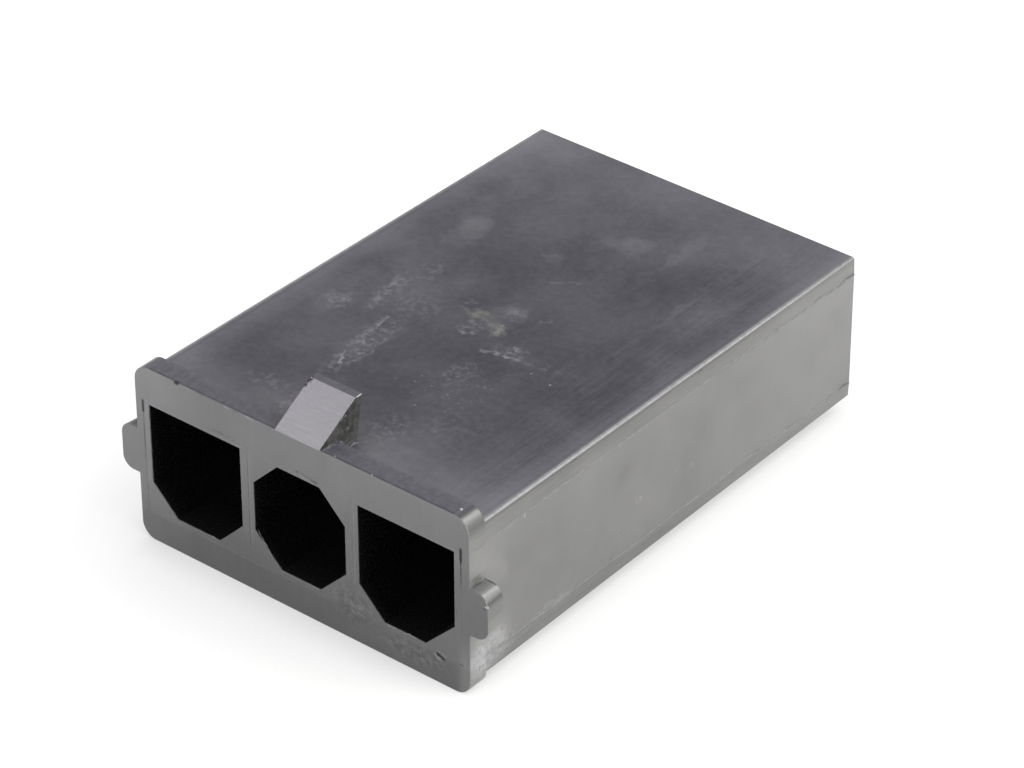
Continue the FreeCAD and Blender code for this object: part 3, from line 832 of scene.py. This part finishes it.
def moulded_plastic(look):
    """The housing's one material: satin black plastic with the marks of its mould and its handling, and
    with painted light and shade on its faces, rounded corners, edges and hollows.
    """
    mix = Recipe(bpy.data.materials.new("moulded_plastic"))
    ground = Ground(mix)

    tone = mix.towards(ground.side, 0.85, side_tone(mix, ground))
    tone = mix.towards(ground.roof, tone, roof_tone(mix, ground))
    # The roof's long rounded edges are made paler, partly as wear and partly as a painted highlight
    tone = mix.towards(ground.edge, tone, 1.1)
    # The left collar corner's painted highlight is made stronger, from 24 to 54 degrees
    left_painted_highlight = mix.times(
        mix.ease(ground.x, 1.0, -1.0), mix.within(ground.corner_turn, 24.0, 54.0, 18.0), 1.5
    )
    corner_painted_light = mix.times(mix.curve(ground.corner_turn, CORNER_PAINTED_LIGHT, PAINTED_LIGHT_TOP), mix.plus(1.0, left_painted_highlight))
    tone = mix.towards(ground.corner, tone, corner_painted_light)
    # The ears' rounded corners take their painted highlight and the painted shade beside it
    tone = mix.towards(ground.ear, tone, mix.curve(ground.ear_turn, EAR_PAINTED_LIGHT, PAINTED_LIGHT_TOP))
    tone = mix.towards(ground.front, tone, front_tone(mix, ground))
    # The ramp's face is made paler, partly by rubbing of the latch and partly as a painted highlight,
    # uneven by the milled noise
    milled = mix.plus(
        mix.ease(ground.milled, 0.3, 0.7, 1.07, 1.33), mix.ease(ground.depth, 3.6, 0.2, 0.0, 0.17)
    )
    tone = mix.towards(ground.ramp, tone, milled)
    # The ramp's flanks are painted nearly black, a painted reflection of the dark roof
    tone = mix.towards(ground.flank, tone, mix.ease(ground.speckle, 0.3, 0.7, 0.05, 0.4))
    plastic = mix.vector("SCALE", {0: tuple(look.plastic), 3: tone})
    rounded = mix.times(ground.corner, mix.ease(ground.corner_turn, 5.0, 25.0))
    plain = mix.larger(ground.flank, rounded, ground.edge)
    # The roof's bluish cast is painted light, kept off the flanks, the rounded corners and the roof's
    # edges
    cool_light_mask = mix.times(ground.roof, mix.ease(plain, 1.0, 0.0), mix.plus(0.8, mix.times(tone, 0.5)))
    for tint, mask in ((look.roof_tint, cool_light_mask), (look.ramp_tint, ground.ramp)):
        tint = mix.vector("SCALE", {0: tuple(tint), 3: mask})
        plastic = mix.vector("ADD", {0: plastic, 1: tint})

    patchy = mix.ease(ground.cloud, 0.35, 0.6, 0.5, 1.3)
    torn = mix.times(mix.ease(ground.speckle, 0.44, 0.64), mix.ease(ground.flecks, 0.3, 0.6, 0.5, 1.0))
    broken = mix.ease(ground.speckle, 0.36, 0.56, 0.1, 1.0)
    up, ahead = (0, 0, 1), (0, -1, 0)
    mix.here = ground.loosely
    roof_haze = mix.times(spots(mix, ROOF_HAZE, on_roof, 2), patchy)
    side_haze = mix.times(spots(mix, SIDE_HAZE, on_side, 0), patchy)
    mix.here = ground.roughly
    roof_scuffs = mix.plus(
        mix.times(spots(mix, ROOF_SCUFFS, on_roof, 2), torn),
        mix.times(lines(mix, ROOF_SCRATCHES, on_roof, up), broken),
    )
    worn = mix.larger(torn, mix.ease(ground.flecks, 0.5, 0.66, 0.0, 0.8))
    side_scuffs_and_highlight = mix.times(spots(mix, SIDE_SCUFFS_AND_HIGHLIGHT, on_side, 0), worn)
    powder = mix.times(spots(mix, SIDE_POWDER, on_side, 0), mix.ease(ground.flecks, 0.42, 0.3))
    clustered = mix.times(mix.ease(ground.flecks, 0.64, 0.72), mix.ease(ground.cloud, 0.45, 0.6))
    trail = mix.times(mix.spot(on_roof((3.2, 14.0)), (3.4, 6.0, SPOT_DEPTH)), clustered)
    mix.here = ground.place
    ripples = chatter(mix, ground)
    roof_film = mix.plus(
        roof_haze, mix.times(roof_scuffs, look.scuffing), mix.times(trail, look.scuffing, 0.3),
        mix.times(ripples, look.scuffing, 0.12),
    )
    front_film_and_highlights = mix.times(lines(mix, FRONT_LINES_AND_HIGHLIGHTS, on_front, ahead), broken)
    slit_shade = lines(mix, FRONT_SLIT_SHADE, on_front, ahead)
    on_right = mix.times(ground.side, mix.ease(ground.x, 14.0, 15.0), mix.ease(ground.ear, 1.0, 0.0))
    # Pale wear along the roof's long edges, which is also a painted highlight
    edge_wear = mix.times(
        ground.edge, mix.ease(ground.speckle, 0.3, 0.6, 0.34, 0.6),
        mix.ease(ground.depth, 24.0, 46.0, 1.0, 0.6), look.edge_wear,
    )
    # The film colour here also paints highlights: on the roof's long edges, along the mating face's
    # lines and on the side's flash
    film = mix.plus(
        mix.times(roof_film, ground.roof), mix.times(mix.plus(side_haze, side_scuffs_and_highlight), on_right),
        mix.times(front_film_and_highlights, ground.front), edge_wear,
    )
    colour = mix.blend(film, plastic, (*look.film, 1.0))
    mix.here = ground.loosely
    residue = mix.times(
        spots(mix, ROOF_RESIDUE, on_roof, 2), mix.ease(ground.speckle, 0.3, 0.6, 0.6, 1.0), ground.roof
    )
    colour = mix.blend(residue, colour, (*look.residue, 1.0))
    mix.here = ground.place
    others = mix.plus(*(mix.spot(*stain) for stain in OTHER_STAINS_AND_SHADE))
    others = mix.times(others, mix.ease(ground.grain, 0.42, 0.58, 0.35, 1.1))
    on_right_side = mix.plus(spots(mix, SIDE_STAINS_AND_SHADE, on_side, 0), mix.times(powder, 0.3))
    on_mating_face = mix.plus(mix.times(spots(mix, FRONT_STAINS_AND_SHADE, on_front, 1), broken), slit_shade)
    # Stains, together with painted shade: dark lines beside the roof's edges and under the side's
    # flash, above the ears, and in the mating face's grooves, slits and pit
    stains_and_shade = mix.plus(
        mix.times(on_right_side, on_right, broken),
        mix.times(on_mating_face, mix.ease(ground.depth, 0.3, 0.2)),
        mix.times(ground.rim, mix.ease(ground.depth, 24.0, 46.0, 0.2, 0.06)),
        others,
    )
    stains_and_shade = mix.math("MINIMUM", stains_and_shade, 1.0)
    # Stains and painted shade take the hollows' dark colour
    colour = mix.blend(mix.larger(stains_and_shade, ground.hollow), colour, (*look.hollow, 1.0))

    roughness = mix.plus(
        look.roughness, mix.ease(ground.grain, 0.3, 0.7, -0.03, 0.03), mix.times(ground.ramp, -0.08),
        mix.times(film, 0.2), mix.times(ground.hollow, -0.12), mix.times(stains_and_shade, 0.45),
    )
    relief = mix.plus(
        mix.times(ground.grain, 0.3), mix.times(mix.ease(ground.front, 1.0, 0.0), ground.drawn, 0.22),
        mix.times(ground.milled, ground.ramp, 1.2),
    )
    bump = mix.add("ShaderNodeBump", {"Strength": 0.25, "Distance": 0.02 * MM, "Height": relief})
    return mix.finish(colour, roughness, bump)


def thin_plastic(look, name="thin_plastic", rubbed=0.0):
    """The paler, uneven plastic of flash and of grains that were rubbed off."""
    mix = Recipe(bpy.data.materials.new(name))
    place = mix.place()[0]
    patches = mix.noise(place, 1.6, 3.0, 0.6)
    grain = mix.noise(place, 9.0, 2.0, 0.6)
    paler = mix.plus(
        rubbed, mix.ease(patches, 0.4, 0.7, 0.0, 0.22), mix.ease(grain, 0.3, 0.7, -0.08, 0.08)
    )
    colour = mix.blend(paler, (*look.plastic, 1.0), (*look.film, 1.0))
    bump = mix.add("ShaderNodeBump", {"Strength": 0.3, "Distance": 0.02 * MM, "Height": grain})
    return mix.finish(colour, mix.ease(grain, 0.3, 0.7, 0.35, 0.5), bump)


def rubbed_plastic_and_glint(look):
    """The whitish plastic of crumbs and of a burr that was bent over, which on the ramp's crest is also
    a painted glint.
    """
    return thin_plastic(look, "rubbed_plastic_and_glint", 0.75)


def shared_material(make):
    """The material that a function makes, made once and found by the function's own name."""
    return bpy.data.materials.get(make.__name__) or make(bpy.context.scene.housing_finish)


# From one ring of a parting line's flash to the next
FLASH_STEP = 0.12


class HOUSING_OT_flash(Operator):
    """Runs the thin flash along the parting lines of the body and of the collar"""

    bl_idname = "housing.flash"
    bl_label = "Parting Flash"

    def execute(self, context):
        sizes = context.scene.housing_flash
        plastic = shared_material(thin_plastic)
        depth = np.arange(COLLAR_DEPTH + 0.05, TOTAL_LENGTH - 0.02, FLASH_STEP)
        for side, way in (("right", 1), ("left", -1)):
            outward = np.array([way, 0.0, 0.0])
            across = np.array([0.0, 0.0, 1.0])
            for level, parting, seed in (("upper", UPPER_PARTING, 3), ("lower", LOWER_PARTING, 8)):
                seed += way
                height = parting + wander(depth, seed, (9.0, 3.1, 1.1), (0.03, 0.02, 0.01))
                path = in_frame(way * body_side(depth), depth, height)
                # Torn at random, taller towards the rear, and whole at the very end
                torn = wander(depth, seed + 20, (5.0, 1.9, 0.7), (0.5, 0.3, 0.3)) + 0.4
                torn = np.clip(torn, 0.12, 1.0)
                rear = np.clip((depth - TOTAL_LENGTH + 1.9) / 1.2, 0.0, 1.0)
                growth = 0.12 + 0.45 * (depth / TOTAL_LENGTH) ** 2
                ends = 0.2 + 0.8 * tapered(depth, 0.15)
                proud = sizes.height / MM * np.maximum(torn * growth, rear) * ends
                half = sizes.thickness / MM / 2 * (0.7 + 0.5 * torn)
                flash = bead(path, outward, across, proud, half, 0.06)
                add_piece(f"{side}_{level}_flash", [flash], plastic)
            collar = np.arange(0.12, COLLAR_DEPTH - 0.08, FLASH_STEP)
            path = in_frame(way * COLLAR_HALF_WIDTH, collar, UPPER_PARTING - 0.02 * collar)
            proud = 0.05 * (0.4 + 0.6 * tapered(collar, 0.3))
            flash = bead(path, outward, across, proud, proud, 0.05)
            add_piece(f"{side}_collar_flash", [flash], plastic)
        return {"FINISHED"}


# Lines that the mould's inserts leave on the mating face, each from one (x, height) to another
INSERT_LINES = [
    ((-15.02, 2.48), (-15.02, 12.5)), ((15.02, 2.48), (15.02, 12.5)),
    ((-15.02, 2.48), (15.02, 2.48)), ((-14.9, 12.52), (-4.88, 12.5)),
    ((-4.88, 12.5), (-4.88, 3.2)), ((4.95, 12.5), (4.95, 3.2)), ((4.95, 12.5), (15.02, 12.5)),
]


class HOUSING_OT_witness(Operator):
    """Draws the faint lines that the mould's inserts leave on the mating face"""

    bl_idname = "housing.witness"
    bl_label = "Insert Lines"

    def execute(self, context):
        sizes = context.scene.housing_witness
        plastic = shared_material(moulded_plastic)
        outward = np.array([0.0, -1.0, 0.0])
        shells = []
        for number, (start, end) in enumerate(INSERT_LINES):
            shells.append(self.line(number, Vector(start), Vector(end), sizes, outward))
        add_piece("insert_lines", shells, plastic)
        return {"FINISHED"}

    def line(self, number, start, end, sizes, outward):
        """The bead of one line, which wanders a little and is faint in places."""
        run = end - start
        along = np.linspace(0, run.length, max(12, int(run.length / 0.15)))
        aside = np.array([-run.y, 0.0, run.x]) / run.length
        share = along / run.length
        path = in_frame(start.x + run.x * share, 0.0, start.y + run.y * share)
        path = path + wander(along, 40 + number, (4.0, 1.1), (0.02, 0.01))[:, None] * aside
        strength = np.clip(wander(along, 60 + number, (6.0, 2.0), (0.5, 0.4)) + 0.5, 0.15, 1.0)
        ends = 0.3 + 0.7 * tapered(along, 0.5)
        proud = sizes.relief / MM * strength * ends
        half = sizes.width / MM / 2 * (0.6 + 0.4 * strength) * ends
        return bead(path, outward, aside, proud, half, 0.03)


# Slivers of flash at the mouths' edges: the points they run through as (x, height), their
# height over the face and their width
MOUTH_SLIVERS = [
    (((-8.2, 12.55), (-7.1, 12.7), (-6.2, 12.55), (-5.4, 12.5)), 0.05, 0.12),
    (((-0.07, 12.51), (0.9, 12.42), (1.9, 12.17)), 0.06, 0.14),
    (((-4.09, 5.62), (-3.1, 4.32), (-2.08, 2.97)), 0.05, 0.12),
    (((8.1, 2.91), (9.5, 2.9), (11.0, 3.04)), 0.06, 0.12),
    (((-12.1, 2.94), (-10.9, 2.86), (-9.4, 2.95), (-8.0, 2.93)), 0.05, 0.12),
    (((-14.47, 12.3), (-14.46, 9.0), (-14.47, 5.4)), 0.04, 0.1),
]


class HOUSING_OT_slivers(Operator):
    """Leaves slivers of flash at the edges of the mouths"""

    bl_idname = "housing.slivers"
    bl_label = "Mouth Slivers"

    def execute(self, context):
        scale = context.scene.housing_witness.sliver_scale
        plastic = shared_material(thin_plastic)
        shells = [
            self.sliver(number, np.array(points), proud * scale, width * scale)
            for number, (points, proud, width) in enumerate(MOUTH_SLIVERS)
        ]
        add_piece("mouth_slivers", shells, plastic)
        return {"FINISHED"}

    def sliver(self, number, points, proud, width):
        """The bead of one sliver through its points, torn and thin at its ends."""
        legs = np.linalg.norm(np.diff(points, axis=0), axis=1)
        knots = np.concatenate([[0], np.cumsum(legs)])
        along = np.linspace(0, knots[-1], max(10, int(knots[-1] / 0.08)))
        x = np.interp(along, knots, points[:, 0])
        height = np.interp(along, knots, points[:, 1])
        height = height + wander(along, 80 + number, (1.3, 0.5), (0.03, 0.02))
        torn = np.clip(wander(along, 90 + number, (1.1, 0.4), (0.4, 0.3)) + 0.6, 0.2, 1.0)
        lead = np.array([points[-1, 0] - points[0, 0], 0.0, points[-1, 1] - points[0, 1]])
        lead = lead / np.linalg.norm(lead)
        aside = np.array([-lead[2], 0.0, lead[0]])
        thickness = torn * (0.15 + 0.85 * tapered(along, 0.4))
        return bead(
            in_frame(x, 0.0, height), np.array([0.0, -1.0, 0.0]), aside,
            proud * thickness, width / 2 * thickness, 0.05,
        )


class HOUSING_OT_gate(Operator):
    """Leaves the mark of the gate, a small dish with a raised lip, at the mating face's corner"""

    bl_idname = "housing.gate"
    bl_label = "Gate Mark"

    def execute(self, context):
        sizes = context.scene.housing_gate
        plastic = shared_material(moulded_plastic)
        add_piece("gate_mark", [self.dish(sizes)], plastic)
        return {"FINISHED"}

    def dish(self, sizes):
        """Rings from the middle of the dish out over its lip and back under the face.

        At share r of the radius the surface stands proud of the face by lip times
        (1 - ((r - 0.72) / 0.28) squared), and by 0.12 times the lip where that is more.
        """
        share = np.linspace(0.05, 1.0, 14)
        rise = sizes.lip / MM * np.maximum(1 - ((share - 0.72) / 0.28) ** 2, 0.12)
        rise[-1] = -0.04
        share = np.append(share, 0.05)
        rise = np.append(rise, -0.04)
        turn = np.arange(24) * math.tau / 24
        uneven = 1 + 0.12 * np.sin(2 * turn + 0.6) + 0.06 * np.sin(5 * turn)
        x = sizes.x / MM + sizes.width / MM / 2 * share[:, None] * np.cos(turn) * uneven
        height = sizes.z / MM + sizes.height / MM / 2 * share[:, None] * np.sin(turn) * uneven
        lean = 1 + 0.6 * np.sin(turn - math.pi)
        depth = -np.where(rise[:, None] > 0, rise[:, None] * lean, rise[:, None])
        return in_frame(x, depth, height)


# Single grains: on the roof by x and depth, on the right side by depth, height and radius, and on
# the collar's roof by x, depth and radius
LARGE_ROOF_GRAINS = [(2.5, 9.9), (5.85, 8.2), (6.4, 18.4), (8.4, 18.1)]
LARGE_GRAIN = 0.11
SIDE_GRAINS = [(17.6, 4.45, 0.12), (24.2, 6.6, 0.07), (26.5, 6.0, 0.07), (19.6, 6.3, 0.08)]
COLLAR_GRAINS = [(3.4, 0.2, 0.06), (6.9, 0.15, 0.06), (14.39, 0.87, 0.13)]


class HOUSING_OT_grains(Operator):
    """Scatters rubbed-off grains over the roof, the collar and the right side"""

    bl_idname = "housing.grains"
    bl_label = "Grains"

    def execute(self, context):
        sizes = context.scene.housing_grains
        plastic = shared_material(thin_plastic)
        dice = np.random.default_rng(sizes.seed)
        slope = math.tan(BODY_DRAFT)
        shells = []
        for x, depth in LARGE_ROOF_GRAINS:
            shells.append(self.grain(x, depth, BODY_ROOF - depth * slope, LARGE_GRAIN, dice))
        for number in range(sizes.number):
            x = dice.normal(2.4, 1.6)
            depth = dice.uniform(7.5, 20.5)
            size = sizes.size / MM * dice.uniform(0.4, 1.0)
            shells.append(self.grain(x, depth, BODY_ROOF - depth * slope, size, dice))
        add_piece("roof_grains", shells, plastic)
        shells = []
        for depth, height, size in SIDE_GRAINS:
            place = in_frame(body_side(depth), depth, height)
            shells.append(lump(place, (size * 0.3, size, size), int(dice.integers(1000))))
        add_piece("side_grains", shells, plastic)
        shells = []
        for x, depth, size in COLLAR_GRAINS:
            place = in_frame(x, depth, COLLAR_ROOF)
            shells.append(lump(place, (size, size, size * 0.5), int(dice.integers(1000))))
        crumb = in_frame(HIGH.x - 0.1, 0.04, ROW_HEIGHT + EAR_HALF_HEIGHT - 0.86)
        shells.append(lump(crumb, (0.17, 0.09, 0.11), int(dice.integers(1000))))
        corner = in_frame(-2.0, 3.98, MOUNT_PLACES["latch_ramp"].z - 0.01)
        shells.append(lump(corner, (0.06, 0.05, 0.04), int(dice.integers(1000))))
        rubbed = shared_material(rubbed_plastic_and_glint)
        add_piece("collar_grains", shells, rubbed)
        return {"FINISHED"}

    def grain(self, x, depth, height, size, dice):
        """A flat grain on the roof, longer one way than the other."""
        stretch = dice.uniform(0.6, 1.4)
        radii = (size * stretch, size / stretch, size * 0.35)
        return lump(in_frame(x, depth, height), radii, int(dice.integers(10000)))


class HOUSING_OT_burr(Operator):
    """Raises the burrs at the ends of the latch ramp's crest"""

    bl_idname = "housing.burr"
    bl_label = "Crest Burrs"

    def execute(self, context):
        moulded = shared_material(moulded_plastic)
        crest = MOUNT_PLACES["latch_ramp"]
        front = crest.y - MATING_FACE - 0.35
        along = np.linspace(front, front + 0.72, 14)
        path = in_frame(RAMP_HALF_WIDTH, along, crest.z - 0.02)
        size = 0.07 * (0.35 + 0.65 * tapered(along - along[0], 0.3))
        up_right, up_left = np.array([0.7, 0.0, 0.7]), np.array([-0.7, 0.0, 0.7])
        right = bead(path, up_right, up_left, size, size * 0.8, 0.05)
        along = np.linspace(-0.9, 0.1, 16)
        height = crest.z - 0.02 + np.minimum(along, 0) * 0.6
        path = in_frame(0.02 - RAMP_HALF_WIDTH, front + along, height)
        size = 0.06 * (0.3 + 0.7 * tapered(along, 0.3)) * (1 + 0.4 * np.sin(along * 17))
        left = bead(path, up_left, up_right, size, size, 0.05)
        # The right burr's whitish plastic is partly a bent-over burr and partly a painted glint at the
        # crest's end
        rubbed = shared_material(rubbed_plastic_and_glint)
        add_piece("crest_burr_right", [right], rubbed)
        add_piece("crest_burr_left", [left], moulded)
        return {"FINISHED"}


class HOUSING_OT_finish(Operator):
    """Gives the housing its moulded plastic"""

    bl_idname = "housing.finish"
    bl_label = "Moulded Plastic"

    def execute(self, context):
        node = frame["nodes"][NODE]
        node.data.materials.clear()
        node.data.materials.append(moulded_plastic(context.scene.housing_finish))
        return {"FINISHED"}


LAMPS = {
    # name: azimuth and elevation in degrees, distance and side in metres, level, colour
    "right_softbox": (100.0, 12.0, 0.45, 0.30, 2.0, (0.99, 0.99, 0.92)),
    "front_softbox": (-5.0, 12.0, 0.45, 0.30, 0.8, (1.0, 1.0, 1.0)),
    "overhead_softbox": (-69.4, 55.9, 0.45, 0.16, 0.29, (0.96, 0.95, 1.0)),
    "edge_softbox": (153.0, 43.0, 0.45, 0.14, 0.40, (1.0, 1.0, 0.97)),
}


class HOUSING_OT_stage(Operator):
    """Lays the pale floor, hangs the lamps and sets the camera"""

    bl_idname = "housing.stage"
    bl_label = "Studio"

    def execute(self, context):
        studio = context.scene.housing_studio
        self.lay_floor(context, studio)
        self.light_dome(context, studio)
        for name, lamp in LAMPS.items():
            self.hang_lamp(context, studio, name, *lamp)
        self.set_camera(context, studio)
        return {"FINISHED"}

    def lay_floor(self, context, studio):
        """Lays a floor that the camera sees as glowing paper, with a painted shadow that darkens it
        close to the housing.

        How closed in a place is, is measured within 3 and 20 mm, and tells less at the right.
        """
        mesh = bpy.data.meshes.new("studio_floor")
        reach = 4.0
        corners = [(-reach, -reach, 0), (reach, -reach, 0), (reach, reach, 0), (-reach, reach, 0)]
        mesh.from_pydata(corners, [], [(0, 1, 2, 3)])
        floor = bpy.data.objects.new("studio_floor", mesh)
        context.scene.collection.objects.link(floor)
        paper = bpy.data.materials.new("studio_paper")
        mix = Recipe(paper)
        bounced = mix.add("ShaderNodeBsdfDiffuse", {"Color": (*studio.floor_colour, 1.0)})
        shaded = mix.add("ShaderNodeBsdfDiffuse", {"Color": (0.3, 0.3, 0.3, 1.0)})
        x = mix.place()[1]
        near = mix.add("ShaderNodeAmbientOcclusion", {"Distance": 3 * MM}, output="AO", samples=3)
        wide = mix.add("ShaderNodeAmbientOcclusion", {"Distance": 20 * MM}, output="AO", samples=3)
        # The painted shadow: the more closed in a place is, the dimmer the paper glows
        closed = mix.plus(0.64, mix.times(near, -0.21), mix.times(wide, -0.43))
        level = mix.plus(0.85, mix.times(closed, mix.ease(x, 8.0, 17.0, -1.0, -0.6)))
        glow = mix.add("ShaderNodeEmission", {"Color": (1, 1, 1, 1), "Strength": level})
        shown = mix.add("ShaderNodeAddShader", {0: shaded, 1: glow})
        mix.output(mix.add("ShaderNodeMixShader", {0: mix.seen(), 1: bounced, 2: shown}))
        mesh.materials.append(paper)

    def light_dome(self, context, studio):
        world = bpy.data.worlds.new("studio_dome")
        mix = Recipe(world)
        light = mix.add("ShaderNodeBackground", {"Strength": studio.dome})
        shown = mix.add("ShaderNodeBackground", {"Color": (1, 1, 1, 1)})
        surface = mix.add("ShaderNodeMixShader", {0: mix.seen(), 1: light, 2: shown})
        mix.output(surface, "ShaderNodeOutputWorld")
        context.scene.world = world

    def hang_lamp(self, context, studio, name, azimuth, elevation, distance, side, level, colour):
        """Hangs a square lamp that is turned to the point that the camera aims at.

        Its power is level times pi squared times distance squared, so that at a level of one a
        white surface turned to it shows as white.
        """
        lamp = bpy.data.lights.new(name, "AREA")
        lamp.size = side
        lamp.energy = level * (math.pi * distance) ** 2
        lamp.color = colour
        holder = bpy.data.objects.new(name, lamp)
        context.scene.collection.objects.link(holder)
        away = direction(math.radians(azimuth), math.radians(elevation))
        holder.matrix_world = looking_matrix(Vector(studio.aim) + away * distance, -away)

    def set_camera(self, context, studio):
        camera = bpy.data.cameras.new("camera")
        camera.lens = studio.lens
        camera.clip_start = 0.01
        holder = bpy.data.objects.new("camera", camera)
        context.scene.collection.objects.link(holder)
        away = direction(studio.azimuth, studio.elevation)
        place = Vector(studio.aim) + away * studio.distance
        holder.matrix_world = looking_matrix(place, -away, studio.roll)
        context.scene.camera = holder
        context.scene.view_settings.view_transform = "Standard"


class HOUSING_PT_panel(Panel):
    """Lists the housing's steps and their sizes"""

    bl_idname = "HOUSING_PT_panel"
    bl_label = "Connector Housing"
    bl_space_type = "VIEW_3D"
    bl_region_type = "UI"
    bl_category = "Housing"

    def draw(self, context):
        for step, group in STEPS:
            self.layout.operator(step.bl_idname)
            if group:
                sizes = getattr(context.scene, group)
                for name in sizes.bl_rna.properties.keys():
                    if name not in ("rna_type", "name"):
                        self.layout.prop(sizes, name)


GROUPS = {
    "housing_finish": HousingFinish,
    "housing_flash": FlashSizes,
    "housing_witness": WitnessSizes,
    "housing_gate": GateSizes,
    "housing_grains": GrainSizes,
    "housing_studio": StudioLook,
}

# Each step with the group of sizes that the panel lists under it
STEPS = [
    (HOUSING_OT_finish, "housing_finish"),
    (HOUSING_OT_flash, "housing_flash"),
    (HOUSING_OT_witness, "housing_witness"),
    (HOUSING_OT_slivers, None),
    (HOUSING_OT_gate, "housing_gate"),
    (HOUSING_OT_grains, "housing_grains"),
    (HOUSING_OT_burr, None),
    (HOUSING_OT_stage, "housing_studio"),
]


def register():
    for group in GROUPS.values():
        bpy.utils.register_class(group)
    for step, _ in STEPS:
        bpy.utils.register_class(step)
    bpy.utils.register_class(HOUSING_PT_panel)
    for name, group in GROUPS.items():
        setattr(bpy.types.Scene, name, PointerProperty(type=group))


def unregister():
    for name in GROUPS:
        delattr(bpy.types.Scene, name)
    bpy.utils.unregister_class(HOUSING_PT_panel)
    for step, _ in reversed(STEPS):
        bpy.utils.unregister_class(step)
    for group in reversed(GROUPS.values()):
        bpy.utils.unregister_class(group)


def main():
    register()
    bpy.ops.housing.finish()
    bpy.ops.housing.flash()
    bpy.ops.housing.witness()
    bpy.ops.housing.slivers()
    bpy.ops.housing.gate()
    bpy.ops.housing.grains()
    bpy.ops.housing.burr()
    bpy.ops.housing.stage()


if __name__ == "__main__":
    main()
